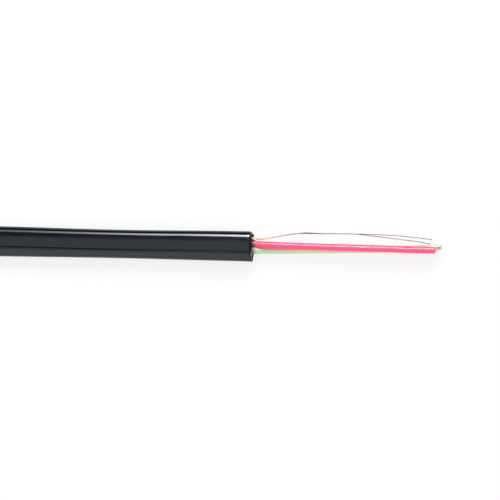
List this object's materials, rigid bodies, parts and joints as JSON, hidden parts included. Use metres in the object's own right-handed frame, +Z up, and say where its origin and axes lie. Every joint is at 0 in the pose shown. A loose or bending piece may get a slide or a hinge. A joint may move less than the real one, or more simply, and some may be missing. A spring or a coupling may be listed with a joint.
{
  "type": "flat modular cable",
  "caption": "Flat black modular line cable, a cut length with one stripped end, where coloured insulated leads and fine bare copper strands come out of a slotted oblong jacket.",
  "frame": {"origin": "on the underside of the jacket, on its centre line, at the middle of the stripped mouth", "axes": "+X along the cable from the plain end to the stripped end, +Z up out of the upper wide face, so +Y points to the black conductor's side"},
  "size_m": [0.0856, 0.0048, 0.0024],
  "materials": {
    "jacket_pvc": "black flexible PVC with a soft sheen",
    "black_insulation": "smooth black",
    "red_insulation": "smooth pinkish red, a little translucent",
    "green_insulation": "smooth pale green, a little translucent",
    "yellow_insulation": "smooth yellow",
    "copper": "bare drawn copper"
  },
  "bodies": {
    "root": {"jacket": "jacket_pvc", "black_insulation": "black_insulation", "red_insulation": "red_insulation", "green_insulation": "green_insulation", "yellow_insulation": "yellow_insulation", "black_strand_1": "copper", "black_strand_2": "copper", "black_strand_3": "copper", "black_strand_4": "copper", "black_strand_5": "copper", "black_strand_6": "copper", "black_strand_7": "copper", "red_strand_1": "copper", "red_strand_2": "copper", "red_strand_3": "copper", "red_strand_4": "copper", "red_strand_5": "copper", "red_strand_6": "copper", "red_strand_7": "copper", "green_strand_1": "copper", "green_strand_2": "copper", "green_strand_3": "copper", "green_strand_4": "copper", "green_strand_5": "copper", "green_strand_6": "copper", "green_strand_7": "copper", "yellow_strand_1": "copper", "yellow_strand_2": "copper", "yellow_strand_3": "copper", "yellow_strand_4": "copper", "yellow_strand_5": "copper", "yellow_strand_6": "copper", "yellow_strand_7": "copper"}
  },
  "joints": []
}
